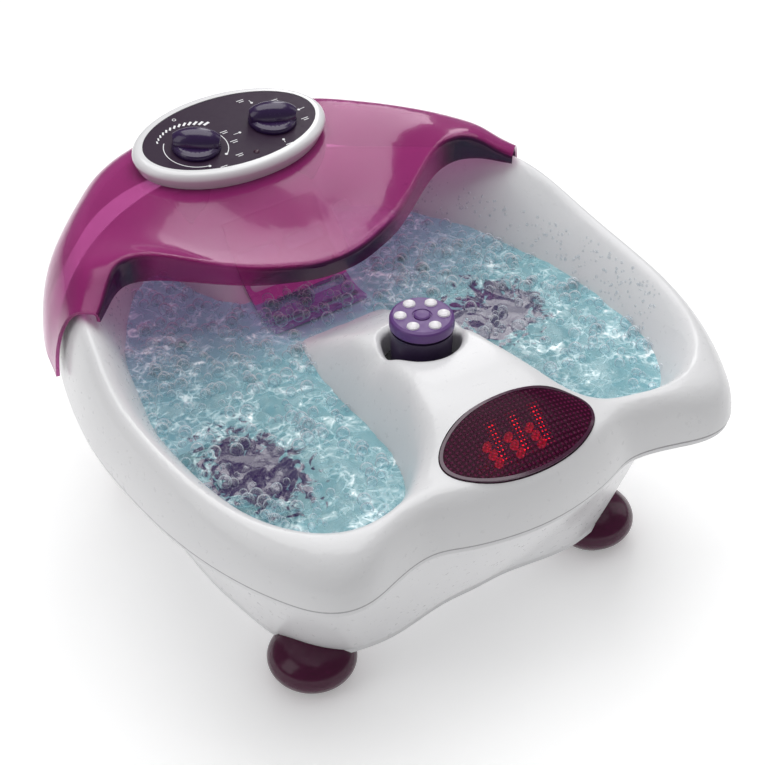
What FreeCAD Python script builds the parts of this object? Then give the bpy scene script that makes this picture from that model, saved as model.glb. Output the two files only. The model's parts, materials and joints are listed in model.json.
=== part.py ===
import FreeCAD, Part
import math
import os

# Foot spa basin: a moulded tub with two foot wells on a tapered base, a translucent
# splash guard over the toes, a control pod, a heat lamp window and a lift-off massage head.
# Millimetres.  +X right, +Y towards the control pod, +Z up, origin on the floor under the
# middle of the overall box.

Vector = FreeCAD.Vector

# ---------------------------------------------------------------- driving dimensions
SHELL = 3.0                    # wall of the tub and the base
GUARD_WALL = 2.5               # wall of the splash guard
WELL_FLOOR = 52.0              # height of the foot wells' floor
SEAM_HEIGHT = 136.0            # joint between the tub and the base
GASKET = 1.5                   # room for the ring in that joint
GASKET_SLACK = 0.06            # the ring's clearance above and below
BASE_BOTTOM = 26.0             # lower edge of the base shell
PLATE_BOTTOM = 22.5            # underside of the bottom plate
HUB_Y = -76.0                  # centre of the massage head's pocket
POCKET_RADIUS = 25.0
POCKET_FLOOR = 166.0
POCKET_LIP = 5.0               # rounding of the pocket's mouth
HEAD_RADIUS = 20.5             # massage head
HEAD_TOP = 207.0
HEAD_LIFT = 30.0               # travel of the massage head when it is lifted off
LENS_Y = -175.2                # heat lamp window
LENS_RADII = (55.0, 28.6)
LENS_TILT = 16.0
POD_Y = 147.0                  # centre of the control pod's top face
POD_TOP = 229.0
POD_RADII = (73.0, 45.0)
POD_TILT = 5.0
KNOB_X = 30.5
KNOB_Y = -6.0                  # from the pod's centre
KNOB_RADIUS = 16.8
SHAFT_RADIUS = 3.0
RUNNING_GAP = 0.06             # radial clearance of a turning fit
FOOT_RADIUS = 29.0
PAD_HEIGHT = 3.0
WELL_X = 100.0                 # centre line of a foot well
ROLLER_YS = (-27.0, 11.0)      # massage rollers in each well
ROLLER_Z = 70.0
ROLLER_RADIUS = 11.0
ROLLER_LENGTH = 44.0

HALF_STATIONS = 36             # angular steps over one half of the mouldings
GLAND_Z = 60.0                 # mains inlet in the back of the base
GLAND_Y = 174.0
GLAND_RADIUS = 7.0
INLET_RADIUS = 3.2
SCREW_PLACES = ((-66, -118), (66, -118), (-56, 124), (56, 124), (0, -128), (0, 140))
SCREW_RADIUS = 1.8


# ---------------------------------------------------------------- curves and profiles
def smooth(*points):
    """Smooth curve through (x, value) points, level at both ends."""
    xs = [p[0] for p in points]
    ys = [p[1] for p in points]
    last = len(xs) - 1
    slopes = [0.0] * (last + 1)
    for i in range(1, last):
        before = (ys[i] - ys[i - 1]) / (xs[i] - xs[i - 1])
        after = (ys[i + 1] - ys[i]) / (xs[i + 1] - xs[i])
        span = xs[i + 1] - xs[i - 1]
        slopes[i] = (before * (xs[i + 1] - xs[i]) + after * (xs[i] - xs[i - 1])) / span

    def curve(x):
        if x <= xs[0]:
            return ys[0]
        if x >= xs[last]:
            return ys[last]
        i = max(k for k in range(last) if xs[k] <= x)
        h = xs[i + 1] - xs[i]
        t = (x - xs[i]) / h
        return (ys[i] * (1 + 2 * t) * (1 - t) ** 2 + slopes[i] * h * t * (1 - t) ** 2
                + ys[i + 1] * t * t * (3 - 2 * t) + slopes[i + 1] * h * t * t * (t - 1))
    return curve


def step(t):
    """Smooth step from 0 to 1 as t goes from 0 to 1."""
    t = min(max(t, 0.0), 1.0)
    return t * t * (3 - 2 * t)


def outline(*points):
    """Radius about the hub against the angle from the front, for the half with x > 0."""
    polar = [(math.atan2(x, HUB_Y - y), math.hypot(x, y - HUB_Y)) for x, y in points]
    return smooth(*polar)


def around(radius, angle):
    """Plan position at this radius and angle about the hub; angle 0 is the front."""
    return radius * math.sin(angle), HUB_Y - radius * math.cos(angle)


# Half outlines of the mouldings, from the front centre round the right side to the back.
SEAM = outline((0, -211), (28, -208.5), (54, -202), (85, -193.5), (105, -199), (135, -208.5),
               (158, -199), (173, -176), (187, -140), (196, -95), (198, -57), (195, 5),
               (183, 58), (168, 98), (140, 138), (108, 168), (60, 195), (0, 203))
CREST = outline((0, -202), (45, -190), (86, -178.5), (116, -184), (138, -178), (155, -163),
                (172, -135), (181, -98), (184, -57), (181, 0), (171, 40), (160, 75),
                (132, 116), (98, 150), (55, 174), (0, 181))
BASE_TOP = outline((0, -198), (40, -195), (78, -185), (106, -174), (140, -152), (161, -118),
                   (170, -72), (175, -30), (172, 20), (159, 66), (140, 108), (110, 144), (58, 168),
                   (0, 176))
FOOTPRINT = outline((0, -141), (45, -143), (84, -145), (109, -138), (128, -110), (137, -60),
                    (136, 20), (124, 88), (94, 132), (48, 154), (0, 160))

RIM_HEIGHT = smooth((-205, 171), (-137, 172), (-100, 174.5), (-60, 177), (-20, 181.5), (0, 187),
                    (20, 194.5), (42, 200), (58, 200), (95, 190), (140, 181), (205, 178))
RIDGE_HEIGHT = smooth((-222, 163), (-204, 170), (-190, 175), (-175, 180), (-152, 187.5),
                      (-120, 192), (-76, 190), (-50, 186), (-25, 171), (12, 146), (36, 137),
                      (52, 138), (78, 156), (108, 193), (118, 196), (160, 196), (182, 180))
RIDGE_WIDTH = smooth((-200, 62), (-170, 52), (-140, 38), (-110, 29), (-76, 27), (-30, 26),
                     (0, 28), (30, 38), (60, 40), (182, 40))
WALL_DROP = smooth((0, 0), (9, 0.07), (24, 0.31), (36, 0.65), (46, 0.9), (56, 0.985), (62, 1))
RIDGE_DROP = smooth((0, 0), (10, 0.07), (20, 0.28), (30, 0.66), (38, 0.9), (50, 1))


def even_stations(radius_at, fine=720):
    """Angles from front to back at which a half outline is cut into pieces of equal length."""
    angles = [math.pi * i / fine for i in range(fine + 1)]
    places = [around(radius_at(angle), angle) for angle in angles]
    lengths = [0.0]
    for before, after in zip(places, places[1:]):
        lengths.append(lengths[-1] + math.dist(before, after))
    stations = []
    for k in range(HALF_STATIONS + 1):
        target = lengths[-1] * k / HALF_STATIONS
        i = next(i for i in range(1, fine + 1) if lengths[i] >= target - 1e-9)
        part = (target - lengths[i - 1]) / (lengths[i] - lengths[i - 1])
        stations.append(angles[i - 1] + part * (angles[i] - angles[i - 1]))
    return stations


STATIONS = even_stations(SEAM)


def mirror_angle(station):
    """Angle about the hub at a station, counted past the mirror plane at either end too,
    and the same angle folded into the right half."""
    folded = abs(station) if station <= HALF_STATIONS else 2 * HALF_STATIONS - station
    near = STATIONS[folded]
    if station < 0:
        return -near, near
    if station > HALF_STATIONS:
        return 2 * math.pi - near, near
    return near, near


def seam_height(angle):
    """Height of the joint at this angle about the hub: a little higher at the sides."""
    x, y = around(SEAM(angle), angle)
    return SEAM_HEIGHT + 1.1 * (x / 150.0) ** 2


def top_height(x, y):
    """Height of the rim and the front ridge if there were no wells and no rounded edge."""
    width = 30.0 + 0.5 * RIDGE_WIDTH(y)
    share = math.exp(-(x / width) ** 4) if abs(x) < 3 * width else 0.0
    return RIM_HEIGHT(y) + (RIDGE_HEIGHT(y) - RIM_HEIGHT(y)) * share


def tub_height(x, y):
    """Top surface of the tub: two wells sunk between the rim and the middle ridge."""
    angle = math.atan2(abs(x), HUB_Y - y)
    inside = (CREST(angle) - math.hypot(x, y - HUB_Y)) * 0.93
    wall = 1.0 - WALL_DROP(inside)
    ridge = 1.0 - RIDGE_DROP(max(abs(x) - RIDGE_WIDTH(y), 0.0))
    return (WELL_FLOOR + (top_height(x, y) - WELL_FLOOR) * wall
            + (RIDGE_HEIGHT(y) - WELL_FLOOR) * ridge * (1.0 - wall))


# ---------------------------------------------------------------- surface building
def offset_grid(grid, thickness):
    """The grid moved along its normals to the inside of the moulding; its two rims stay level."""
    rows = len(grid)
    columns = len(grid[0])
    moved = []
    for i in range(rows):
        row = []
        for j in range(columns):
            along = grid[min(i + 1, rows - 1)][j] - grid[max(i - 1, 0)][j]
            across = grid[i][min(j + 1, columns - 1)] - grid[i][max(j - 1, 0)]
            normal = along.cross(across)
            normal.normalize()
            if j in (0, columns - 1) and abs(normal.z) < 0.7:
                normal.z = 0.0
                normal.normalize()
            row.append(grid[i][j] + normal * thickness)
        moved.append(row)
    return moved


def uniform_knots(count, clamped_low, clamped_high):
    """Knots and multiplicities of a uniform cubic spline with this many control points."""
    knots = list(range(count - 2 + (0 if clamped_low else 3) + (0 if clamped_high else 3)))
    mults = [1] * len(knots)
    mults[0] = 4 if clamped_low else 1
    mults[-1] = 4 if clamped_high else 1
    return knots, mults


def half_surface(grid, margin):
    """Smooth cubic surface steered by the grid; its margin rows lie past the mirror plane."""
    rows = len(grid)
    columns = len(grid[0])
    u_knots, u_mults = uniform_knots(rows, False, margin == "front")
    v_knots, v_mults = uniform_knots(columns, True, True)
    surface = Part.BSplineSurface()
    surface.buildFromPolesMultsKnots(grid, u_mults, v_mults, u_knots, v_knots, False, False, 3, 3)
    low, high = surface.bounds()[2:]
    last = u_knots[-1] if margin == "front" else u_knots[-5]
    surface.segment(u_knots[4], last, low, high)
    return surface


SAME_WAY = 1                   # ruled surfaces join edges without turning one round


def moulding(point_at, columns, thickness, rows=HALF_STATIONS, margin="both"):
    """Thin shell, mirrored about x = 0, whose face is point_at(row, column)."""
    last = rows + 2 if margin == "both" else rows
    grid = [[point_at(i, j) for j in range(columns)] for i in range(-2, last + 1)]
    outer = half_surface(grid, margin)
    inner = half_surface(offset_grid(grid, thickness), margin)
    faces = [outer.toShape(), inner.toShape()]
    for rim in (2, 3):
        edges = [surface.vIso(surface.bounds()[rim]).toShape() for surface in (outer, inner)]
        faces.append(Part.makeRuledSurface(*edges, SAME_WAY))
    if margin == "front":
        ends = [surface.uIso(surface.bounds()[1]).toShape() for surface in (outer, inner)]
        faces.append(Part.makeRuledSurface(*ends, SAME_WAY))
    mirrored = [face.mirror(Vector(0, 0, 0), Vector(1, 0, 0)) for face in faces]
    shell = Part.makeCompound(faces + mirrored)
    shell.sewShape(0.02)
    solid = Part.makeSolid(shell.Shells[0])
    if solid.Volume < 0:
        solid.reverse()
    return solid


def lathe(*profile, centre=(0, 0, 0)):
    """Solid of revolution about Z from (radius, height) points."""
    points = [Vector(r, 0, z) for r, z in profile]
    face = Part.Face(Part.makePolygon(points + points[:1]))
    solid = face.revolve(Vector(0, 0, 0), Vector(0, 0, 1), 360)
    solid.translate(Vector(*centre))
    return solid


def cylinder(radius, height, centre=(0, 0, 0), direction=(0, 0, 1)):
    return Part.makeCylinder(radius, height, Vector(*centre), Vector(*direction))


def block(low, high):
    size = [b - a for a, b in zip(low, high)]
    return Part.makeBox(*size, Vector(*low))


def rounded_block(low, high, radius):
    """Box with its vertical edges rounded."""
    solid = block(low, high)
    upright = [e for e in solid.Edges if abs(e.tangentAt(e.FirstParameter).z) > 0.9]
    return solid.makeFillet(radius, upright)


def stretched(solid, x=1.0, y=1.0, z=1.0):
    matrix = FreeCAD.Matrix()
    matrix.scale(x, y, z)
    return solid.transformGeometry(matrix)


def placed(solid, centre, tilt):
    """Tilt a solid about X, its rear up, and move it to centre."""
    turn = FreeCAD.Rotation(Vector(1, 0, 0), tilt)
    solid = solid.copy()
    solid.Placement = FreeCAD.Placement(Vector(*centre), turn).multiply(solid.Placement)
    return solid


def group(solids):
    return Part.makeCompound(list(solids))


def largest(shape):
    return max(shape.Solids, key=lambda solid: solid.Volume)


def trimmed(solid, *others):
    """What is left of a solid where it meets its neighbours, without loose slivers."""
    for other in others:
        solid = solid.cut(other)
    return largest(solid)


# ---------------------------------------------------------------- tub and base
POCKET_WALL = 5                # columns up the pocket's wall
POCKET_ROUND = 5               # columns round the pocket's mouth
TUB_INNER = 28                 # columns from the pocket to the crest
TUB_OUTER = 9                  # columns over the rounded outer wall


def pocket_edge(angle):
    """Height of the tub round the pocket, dipped where fingers reach the massage head."""
    x, y = around(POCKET_RADIUS + POCKET_LIP, angle)
    dip = 4.0 * math.exp(-((abs(angle) - 0.5 * math.pi) / 0.3) ** 2)
    return tub_height(x, y) - dip


def tub_point(station, column):
    angle, near = mirror_angle(station)
    mouth = POCKET_RADIUS + POCKET_LIP
    if column < POCKET_WALL:
        top = pocket_edge(near) - POCKET_LIP
        low = POCKET_FLOOR - 1.5
        x, y = around(POCKET_RADIUS, angle)
        return Vector(x, y, low + (top - low) * column / POCKET_WALL)
    column -= POCKET_WALL
    if column < POCKET_ROUND:
        bend = 0.5 * math.pi * column / POCKET_ROUND
        x, y = around(mouth - POCKET_LIP * math.cos(bend), angle)
        return Vector(x, y, pocket_edge(near) - POCKET_LIP * (1 - math.sin(bend)))
    column -= POCKET_ROUND
    crest = CREST(near)
    seam = SEAM(near)
    if column <= TUB_INNER:
        share_out = column / TUB_INNER
        radius = mouth + (crest - mouth) * share_out
        x, y = around(radius, angle)
        settle = 1 - step(share_out * (crest - mouth) / 16.0)
        lost = (tub_height(*around(mouth, angle)) - pocket_edge(near)) * settle
        return Vector(x, y, tub_height(x, y) - lost)
    bend = 0.5 * math.pi * (column - TUB_INNER) / TUB_OUTER
    radius = crest + (seam - crest) * math.sin(bend)
    x, y = around(radius, angle)
    edge_x, edge_y = around(seam, angle)
    drop = top_height(edge_x, edge_y) - seam_height(near)
    return Vector(x, y, top_height(x, y) - drop * (1 - math.cos(bend)))


def ellipse_prism(radii, low, high, centre=(0, 0, 0), tilt=0.0):
    """Upright elliptical cylinder between two heights, tilted with its base centre."""
    solid = stretched(Part.makeCylinder(1, 1), radii[0], radii[1], high - low)
    solid.translate(Vector(0, 0, low))
    return placed(solid, centre, tilt)


def lens_prism(shrink, low=-60, high=40):
    """Elliptical prism through the heat lamp window, smaller than it by shrink."""
    radii = [radius - shrink for radius in LENS_RADII]
    return ellipse_prism(radii, low, high, (0, LENS_Y, RIDGE_HEIGHT(LENS_Y)), LENS_TILT)


def upper_tub():
    columns = POCKET_WALL + POCKET_ROUND + TUB_INNER + TUB_OUTER + 1
    tub = moulding(tub_point, columns, SHELL)
    floor = cylinder(POCKET_RADIUS + 1.5, SHELL, (0, HUB_Y, POCKET_FLOOR - SHELL))
    tub = tub.fuse(floor)
    return tub.cut(lens_prism(-0.4, -14))


BASE_LIP = 1.2                 # the base's flange stands this far inside the tub's edge
BASE_FILLET = 5.0
TAPER = 1.3                    # how late the base's wall turns in on its way down
FLANGE_COLUMNS = 4
FILLET_COLUMNS = 4
WALL_COLUMNS = 10


def base_point(station, column):
    """Underside of the flange below the tub's edge, a fillet, then the tapering wall."""
    angle, near = mirror_angle(station)
    edge = SEAM(near) - BASE_LIP
    wall = BASE_TOP(near)
    foot = FOOTPRINT(near)
    flange_z = seam_height(near) - GASKET - SHELL
    wall_z = flange_z - BASE_FILLET
    if column < FLANGE_COLUMNS:
        radius = edge + (wall + BASE_FILLET - edge) * column / FLANGE_COLUMNS
        return Vector(*around(radius, angle), flange_z)
    column -= FLANGE_COLUMNS
    if column < FILLET_COLUMNS:
        bend = 0.5 * math.pi * column / FILLET_COLUMNS
        radius = wall + BASE_FILLET * (1 - math.sin(bend))
        return Vector(*around(radius, angle), flange_z - BASE_FILLET * (1 - math.cos(bend)))
    fall = (column - FILLET_COLUMNS) / WALL_COLUMNS
    radius = foot + (wall - foot) * (1 - fall ** TAPER)
    return Vector(*around(radius, angle), wall_z + (BASE_BOTTOM - wall_z) * fall)


def base_shell():
    shell = moulding(base_point, FLANGE_COLUMNS + FILLET_COLUMNS + WALL_COLUMNS + 1, SHELL)
    return shell.cut(cylinder(GLAND_RADIUS, 60, (0, GLAND_Y - 30, GLAND_Z), (0, 1, 0)))


GASKET_INSET = 0.5
GASKET_WIDTH = 2.5
GASKET_COLUMNS = 4


def gasket_point(station, column):
    angle, near = mirror_angle(station)
    x, y = around(SEAM(near) - GASKET_INSET, angle)
    share = column / (GASKET_COLUMNS - 1)
    thickness = GASKET - 2 * GASKET_SLACK
    return Vector(x, y, seam_height(near) - GASKET_SLACK - thickness * share)


def seam_gasket():
    return moulding(gasket_point, GASKET_COLUMNS, GASKET_WIDTH)


def closed_outline(radius_at, inset=0.0):
    """Closed smooth wire at the floor from a half outline."""
    places = []
    for station in range(-HALF_STATIONS + 1, HALF_STATIONS + 1):
        angle, near = mirror_angle(station)
        x, y = around(radius_at(near) - inset, angle)
        places.append(Vector(x, y, 0))
    curve = Part.BSplineCurve()
    curve.interpolate(places, PeriodicFlag=True)
    return Part.Wire(curve.toShape())


def bottom_plate():
    plate = Part.Face(closed_outline(FOOTPRINT, 0.6)).extrude(Vector(0, 0, BASE_BOTTOM - PLATE_BOTTOM))
    plate.translate(Vector(0, 0, PLATE_BOTTOM))
    for x in range(-30, 31, 12):
        slot = rounded_block((x - 2, -20, 0), (x + 2, 20, 60), 1.9)
        plate = plate.cut(slot)
    for x, y in SCREW_PLACES:
        plate = plate.cut(cylinder(SCREW_RADIUS, 30, (x, y, 10)))
    return plate


# ---------------------------------------------------------------- feet
FOOT_PLACES = {
    "front_left": (-116, -122),
    "front_right": (116, -122),
    "rear_left": (-92, 104),
    "rear_right": (92, 104),
}


def foot(place, base, plate):
    """Flattened dome under a corner of the base, trimmed where the base stands on it."""
    dome = stretched(Part.makeSphere(FOOT_RADIUS), z=0.64)
    dome.translate(Vector(place[0], place[1], 14))
    dome = dome.cut(block((place[0] - 60, place[1] - 60, -60), (place[0] + 60, place[1] + 60, PAD_HEIGHT)))
    dome = dome.cut(base).cut(plate)
    return min(dome.Solids, key=lambda solid: solid.BoundBox.ZMin)


def foot_pad(place):
    return lathe((0, 0), (20, 0), (21.5, 1), (22, PAD_HEIGHT), (0, PAD_HEIGHT), centre=(*place, 0))


# ---------------------------------------------------------------- splash guard
GUARD_EDGE = outline((187, 62), (183, 80), (174, 104), (157, 131), (138, 151), (115, 172),
                     (92, 191), (60, 206), (0, 211))
GUARD_END_ANGLE = math.atan2(187, HUB_Y - 62)
LIP_END = 163.0
LIP_PLAN = smooth((-40, 16), (0, 12), (18, 13.5), (36, 19), (54, 26), (74, 38), (95, 51.5),
                  (110, 60), (122, 63.5), (134, 62), (148, 52), (163, 40), (175, 34))
LIP_HEIGHT = smooth((0, 189), (36, 190.2), (74, 193), (95, 196), (122, 200), (134, 202),
                    (148, 203), (163, 199.5))
LIP_DEPTH = smooth((0, 12), (74, 16), (122, 20.5), (142, 17), (156, 9), (163, 7))
SHOULDER = smooth((0, 217), (0.75, 213), (1, 206))
SKIRT_LOW = smooth((0, 170), (0.6, 163), (1, 153))
GUARD_ROWS = 24
LIP_COLUMNS = 5
CREASE_COLUMNS = 5
TOP_COLUMNS = 12
SKIRT_COLUMNS = 9
CREASE_RADIUS = 5.0
LUG_X = 47.0
LUG_Y = 120.0
LUG_TOP = 212.0


def guard_point(row, column):
    """From the wavy front lip, over the top, down to the skirt outside the tub's rim."""
    side = -1 if row < 0 else 1
    share = abs(row) / GUARD_ROWS
    lip_x = LIP_END * share
    edge_angle = math.pi - (math.pi - GUARD_END_ANGLE) * share
    lip = Vector(lip_x, LIP_PLAN(lip_x), LIP_HEIGHT(lip_x))
    edge = Vector(*around(GUARD_EDGE(edge_angle), edge_angle), SKIRT_LOW(share))
    across = Vector(edge.x - lip.x, edge.y - lip.y, 0)
    length = across.Length
    across.normalize()
    crease = lip.z + LIP_DEPTH(lip_x)
    skirt_run = min(30.0, 0.7 * length - 2)
    if column < LIP_COLUMNS:
        rise = (crease - CREASE_RADIUS - lip.z) * column / LIP_COLUMNS
        reach, height = 0.08 * rise, lip.z + rise
    elif column < LIP_COLUMNS + CREASE_COLUMNS:
        bend = 0.5 * math.pi * (column - LIP_COLUMNS) / CREASE_COLUMNS
        start = 0.08 * (crease - CREASE_RADIUS - lip.z)
        reach = start + CREASE_RADIUS * (1 - math.cos(bend))
        height = crease - CREASE_RADIUS * (1 - math.sin(bend))
    else:
        start = 0.08 * (crease - CREASE_RADIUS - lip.z) + CREASE_RADIUS
        along = (column - LIP_COLUMNS - CREASE_COLUMNS) / TOP_COLUMNS
        turn = max(along - 1.0, 0.0) * TOP_COLUMNS / SKIRT_COLUMNS * 0.5 * math.pi
        flat = length - skirt_run - start
        reach = start + flat * min(along, 1.0) + skirt_run * math.sin(turn)
        rise = step((reach - start) / ((0.62 + 0.28 * share) * length))
        top = crease + (SHOULDER(share) - crease) * rise
        height = top - (top - edge.z) * (1 - math.cos(turn))
    return Vector(side * (lip.x + across.x * reach), lip.y + across.y * reach, height)


def splash_guard():
    columns = LIP_COLUMNS + CREASE_COLUMNS + TOP_COLUMNS + SKIRT_COLUMNS + 1
    guard = moulding(guard_point, columns, -GUARD_WALL, rows=GUARD_ROWS, margin="front")
    return guard.cut(pod_prism((57, 32), -80, 40))


def guard_lug(x, *neighbours):
    """Rounded triangular screw lug between the tub's deck and the guard, below the pod."""
    points = [(-15, 0), (15, 0), (12, -12), (3, -26), (-3, -26), (-12, -12)]
    face = Part.Face(Part.makePolygon([Vector(px, 0, pz) for px, pz in points + points[:1]]))
    lug = face.extrude(Vector(0, 4, 0))
    upright = [e for e in lug.Edges if abs(e.tangentAt(e.FirstParameter).y) > 0.9]
    lug = lug.makeFillet(2.5, upright)
    lug.translate(Vector(x, LUG_Y, LUG_TOP))
    return trimmed(lug, *neighbours)


# ---------------------------------------------------------------- control pod
def on_pod(solid, x=0.0, y=0.0):
    """Move a solid made about the pod face's centre into its tilted place."""
    solid.translate(Vector(x, y, 0))
    return placed(solid, (0, POD_Y, POD_TOP), POD_TILT)


def pod_prism(radii, low, high):
    return ellipse_prism(radii, low, high, (0, POD_Y, POD_TOP), POD_TILT)


PLATE_RADII = (65.6, 38.2)
PLATE_THICKNESS = 1.8
WEB_TOP = -1.2                 # shelf under the face plate
WEB_THICKNESS = 2.5


def pod_body():
    """Filled outer shape of the pod, before it is hollowed."""
    rounds = [(0, -24), (65, -24), (68.5, -14), (71.5, -8)]
    rounds += [(66.5 + 6.5 * math.cos(0.157 * i), -4.5 + 5.5 * math.sin(0.157 * i)) for i in range(11)]
    body = lathe(*rounds, (0, 1.0))
    return on_pod(stretched(body, 1.0, POD_RADII[1] / POD_RADII[0], 1.0))


def pod_housing(guard):
    housing = pod_body().cut(pod_prism(PLATE_RADII, WEB_TOP, 20))
    housing = housing.cut(pod_prism((60, 34.5), -60, WEB_TOP - WEB_THICKNESS))
    for x in (-KNOB_X, KNOB_X):
        housing = housing.cut(on_pod(cylinder(5.5, 20, (0, 0, -10)), x, KNOB_Y))
    housing = housing.cut(on_pod(cylinder(3.2, 20, (0, 0, -10)), LAMP_X, LAMP_Y))
    return trimmed(housing, guard)


LAMP_X, LAMP_Y = 2.0, -30.5


def face_plate():
    radii = [radius - 0.25 for radius in PLATE_RADII]
    plate = pod_prism(radii, WEB_TOP, WEB_TOP + PLATE_THICKNESS)
    for x in (-KNOB_X, KNOB_X):
        plate = plate.cut(on_pod(cylinder(SHAFT_RADIUS + 0.8, 20, (0, 0, -10)), x, KNOB_Y))
    return plate.cut(on_pod(cylinder(2.2, 20, (0, 0, -10)), LAMP_X, LAMP_Y))


def indicator_lamp():
    face = WEB_TOP + PLATE_THICKNESS
    return on_pod(lathe((0, -9), (2.1, -9), (2.1, face + 0.2), (1.2, face + 0.9), (0, face + 1.1)),
                  LAMP_X, LAMP_Y)


KNOB_GAP = 0.5
KNOB_SKIRT = 4.5
GRIP_HEIGHT = 15.0


def knob(x, grip_angle):
    """Round skirt with a barrel-shaped grip across it, bored for its shaft."""
    low = WEB_TOP + PLATE_THICKNESS + KNOB_GAP
    skirt = lathe((0, low), (KNOB_RADIUS, low), (KNOB_RADIUS, low + 1.5),
                  (KNOB_RADIUS - 0.8, low + 3.2), (KNOB_RADIUS - 3, low + KNOB_SKIRT), (0, low + KNOB_SKIRT + 0.6))
    grip = stretched(Part.makeSphere(1), 19.5, 9.2, GRIP_HEIGHT - 3)
    grip.translate(Vector(0, 0, low + 3.0))
    grip = grip.common(cylinder(KNOB_RADIUS - 0.6, GRIP_HEIGHT + 8, (0, 0, low + 2)))
    shape = skirt.fuse(grip)
    shape = shape.cut(cylinder(SHAFT_RADIUS, 9, (0, 0, low - 1)))
    shape.rotate(Vector(0, 0, 0), Vector(0, 0, 1), grip_angle)
    return on_pod(shape, x, KNOB_Y)


SHAFT_LOW = -17.0
BOARD_TOP = -17.6


def shaft(x):
    top = WEB_TOP + PLATE_THICKNESS + KNOB_GAP + 8
    return on_pod(cylinder(SHAFT_RADIUS, top - SHAFT_LOW, (0, 0, SHAFT_LOW)), x, KNOB_Y)


def control_body(x, size):
    """Switch or thermostat body, hung under the shelf round its shaft."""
    top = WEB_TOP - WEB_THICKNESS
    half = 0.5 * size
    body = rounded_block((-half, -half, BOARD_TOP), (half, half, top), 2.5)
    collar = cylinder(5.0, 2.2, (0, 0, top - 0.1))
    body = body.fuse(collar).cut(cylinder(SHAFT_RADIUS + RUNNING_GAP, 60, (0, 0, -40)))
    return on_pod(body, x, KNOB_Y)


def control_board():
    board = rounded_block((-44, -20, BOARD_TOP - 1.6), (44, 14, BOARD_TOP), 3)
    chips = [block((-8, -14, BOARD_TOP), (6, -6, BOARD_TOP + 2)),
             block((-6, 4, BOARD_TOP), (4, 10, BOARD_TOP + 3))]
    return on_pod(board.multiFuse(chips))


def pod_column(tub):
    """Hollow column that carries the pod on the tub's rear deck."""
    flange = pod_prism((56.5, 31.5), -23.5, -21)
    column = ellipse_prism((34, 20), 180, POD_TOP - 22, (0, POD_Y, 0))
    bore = ellipse_prism((31, 17), 170, POD_TOP + 10, (0, POD_Y, 0))
    return trimmed(flange.fuse(column).cut(bore), tub)


# ---------------------------------------------------------------- heat lamp window
def patch(half_width, low_y, high_y, top_at, thickness, steps=14):
    """Solid with a curved top over a rectangle, the same thickness everywhere."""
    def surface(lift):
        grid = []
        for i in range(steps + 1):
            x = half_width * (2.0 * i / steps - 1)
            row = []
            for j in range(steps + 1):
                y = low_y + (high_y - low_y) * j / steps
                row.append(Vector(x, y, top_at(x, y) + lift))
            grid.append(row)
        made = Part.BSplineSurface()
        made.interpolate(grid)
        return made.toShape()
    top = surface(0.0)
    return top.extrude(Vector(0, 0, -thickness))


def window_height(x, y):
    """Crowned surface of the window, just proud of the tub round it."""
    reach = (x / LENS_RADII[0]) ** 2 + ((y - LENS_Y) / LENS_RADII[1]) ** 2
    return top_height(x, y) + 0.6 + 2.2 * max(1 - reach, -0.3)


def window_patch(lift, thickness):
    return patch(62, LENS_Y - 34, LENS_Y + 34, lambda x, y: window_height(x, y) + lift, thickness)


BEZEL_WIDTH = 2.2


def lens_bezel():
    ring = window_patch(0.3, 7).common(lens_prism(0.2))
    return ring.cut(lens_prism(BEZEL_WIDTH))


def ir_lens():
    return window_patch(0, 2.4).common(lens_prism(BEZEL_WIDTH + 0.05))


def in_window(solid, x=0.0, y=0.0):
    solid.translate(Vector(x, y, 0))
    return placed(solid, (0, LENS_Y, RIDGE_HEIGHT(LENS_Y)), LENS_TILT)


BOARD_DEPTH = -17.0
LAMP_PLACES = (-16.3, 0.0, 16.3)
POST_PLACES = ((-33, 0), (33, 0), (0, -16.5), (0, 16.5))


def shifted(solid, z):
    solid.translate(Vector(0, 0, z))
    return solid


def lamp_tray(bezel, lens):
    """Dark cup behind the window that carries the lamp board."""
    cup = lens_prism(1.0, -24, -5).cut(lens_prism(5.0, BOARD_DEPTH, 0))
    return trimmed(cup, bezel, lens)


def ir_lamp_board():
    return in_window(shifted(stretched(Part.makeCylinder(1, 1.6), 44, 21), BOARD_DEPTH))


def ir_lamps():
    lamps = []
    for x in LAMP_PLACES:
        for y in (-6.5, 0.0, 6.5):
            bulb = lathe((0, 0), (2.5, 0), (2.5, 4), (1.8, 5.6), (0, 6.4))
            lamps.append(in_window(shifted(bulb, BOARD_DEPTH + 1.6), x, y))
    return group(lamps)


def window_posts():
    posts = []
    for x, y in POST_PLACES:
        post = lathe((0, 0), (3.6, 0), (3.0, 9.5), (0, 9.5))
        posts.append(in_window(shifted(post, BOARD_DEPTH + 1.6), x, y))
    return group(posts)


# ---------------------------------------------------------------- massage head
BODY_TOP = HEAD_TOP - 8.0
BODY_BOTTOM = POCKET_FLOOR + 2.8
PEG_RADIUS = 6.0
NODE_RING = 13.6
NODE_ANGLES = range(-30, 330, 60)


def head_socket():
    disc = POCKET_RADIUS - 0.8
    low = POCKET_FLOOR
    return lathe((0, low), (disc, low), (disc, low + 2), (PEG_RADIUS, low + 2), (PEG_RADIUS, low + 13),
                 (PEG_RADIUS - 1, low + 14), (0, low + 14), centre=(0, HUB_Y, 0))


def massage_head_body():
    neck = HEAD_RADIUS - 1.9
    body = lathe((0, BODY_BOTTOM), (18.2, BODY_BOTTOM), (19.2, BODY_BOTTOM + 1.2), (19.8, BODY_TOP - 1.6),
                 (neck, BODY_TOP - 1.4), (neck, BODY_TOP), (0, BODY_TOP), centre=(0, HUB_Y, 0))
    return body.cut(cylinder(PEG_RADIUS + 0.3, 13, (0, HUB_Y, BODY_BOTTOM - 1)))


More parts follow.
